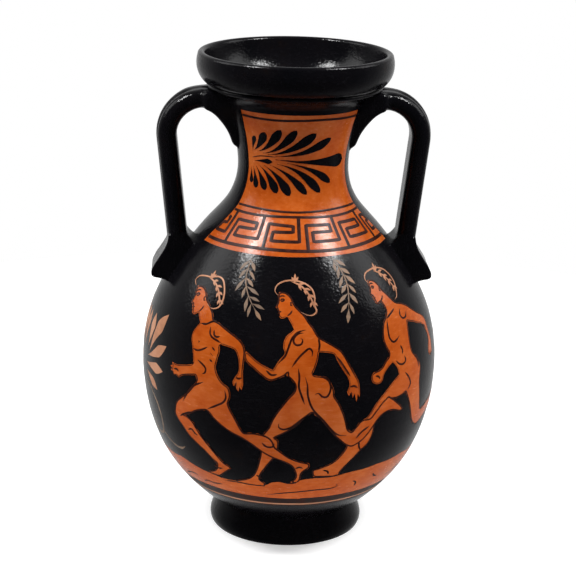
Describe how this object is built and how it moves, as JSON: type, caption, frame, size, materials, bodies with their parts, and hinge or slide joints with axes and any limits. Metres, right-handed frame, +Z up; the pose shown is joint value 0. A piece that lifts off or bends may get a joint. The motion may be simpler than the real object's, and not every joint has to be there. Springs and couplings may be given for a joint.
{
  "type": "amphora",
  "caption": "Two-handled belly amphora on a ring foot, with a bowl-shaped mouth, ribbed strap handles and red-figure style painted decoration.",
  "frame": {"origin": "centre of the foot ring's resting plane", "axes": "+Z up the vessel's axis; handles at -X and +X; painted front faces -Y"},
  "size_m": [0.1458, 0.1458, 0.24],
  "materials": {
    "black_gloss": "gloss black slip",
    "red_clay": "burnished red-orange clay"
  },
  "bodies": {
    "root": {"foot_ring": "black_gloss", "belly": "red_clay", "neck": "red_clay", "mouth": "black_gloss", "handle_left": "black_gloss", "handle_right": "black_gloss"}
  },
  "joints": []
}
